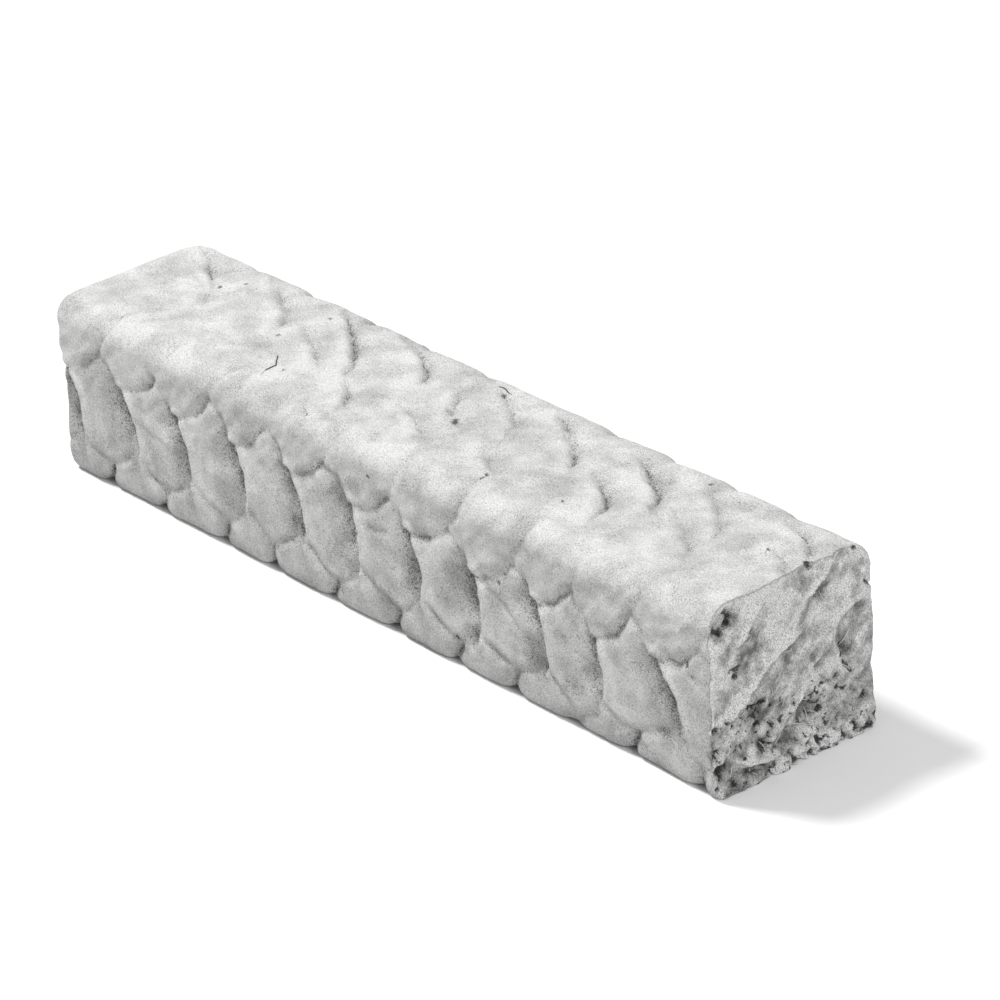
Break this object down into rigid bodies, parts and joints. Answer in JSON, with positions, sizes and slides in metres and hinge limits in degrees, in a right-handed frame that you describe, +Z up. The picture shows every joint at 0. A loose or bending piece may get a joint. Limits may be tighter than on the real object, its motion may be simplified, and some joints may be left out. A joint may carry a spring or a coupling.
{
  "type": "square braided gland packing, cut length",
  "caption": "Straight cut length of square braided gland packing: pale fibre strands interlaced over the corners and along each side, with a rough cut end.",
  "frame": {"origin": "middle of the underside", "axes": "+X along the packing towards the rough cut end, +Z up, +Y towards the back side"},
  "size_m": [0.12, 0.025, 0.024],
  "materials": {
    "braided_fibre": "matte off-white braided fibre, lightly felted and dusty"
  },
  "bodies": {
    "root": {"braided_packing": "braided_fibre"}
  },
  "joints": []
}
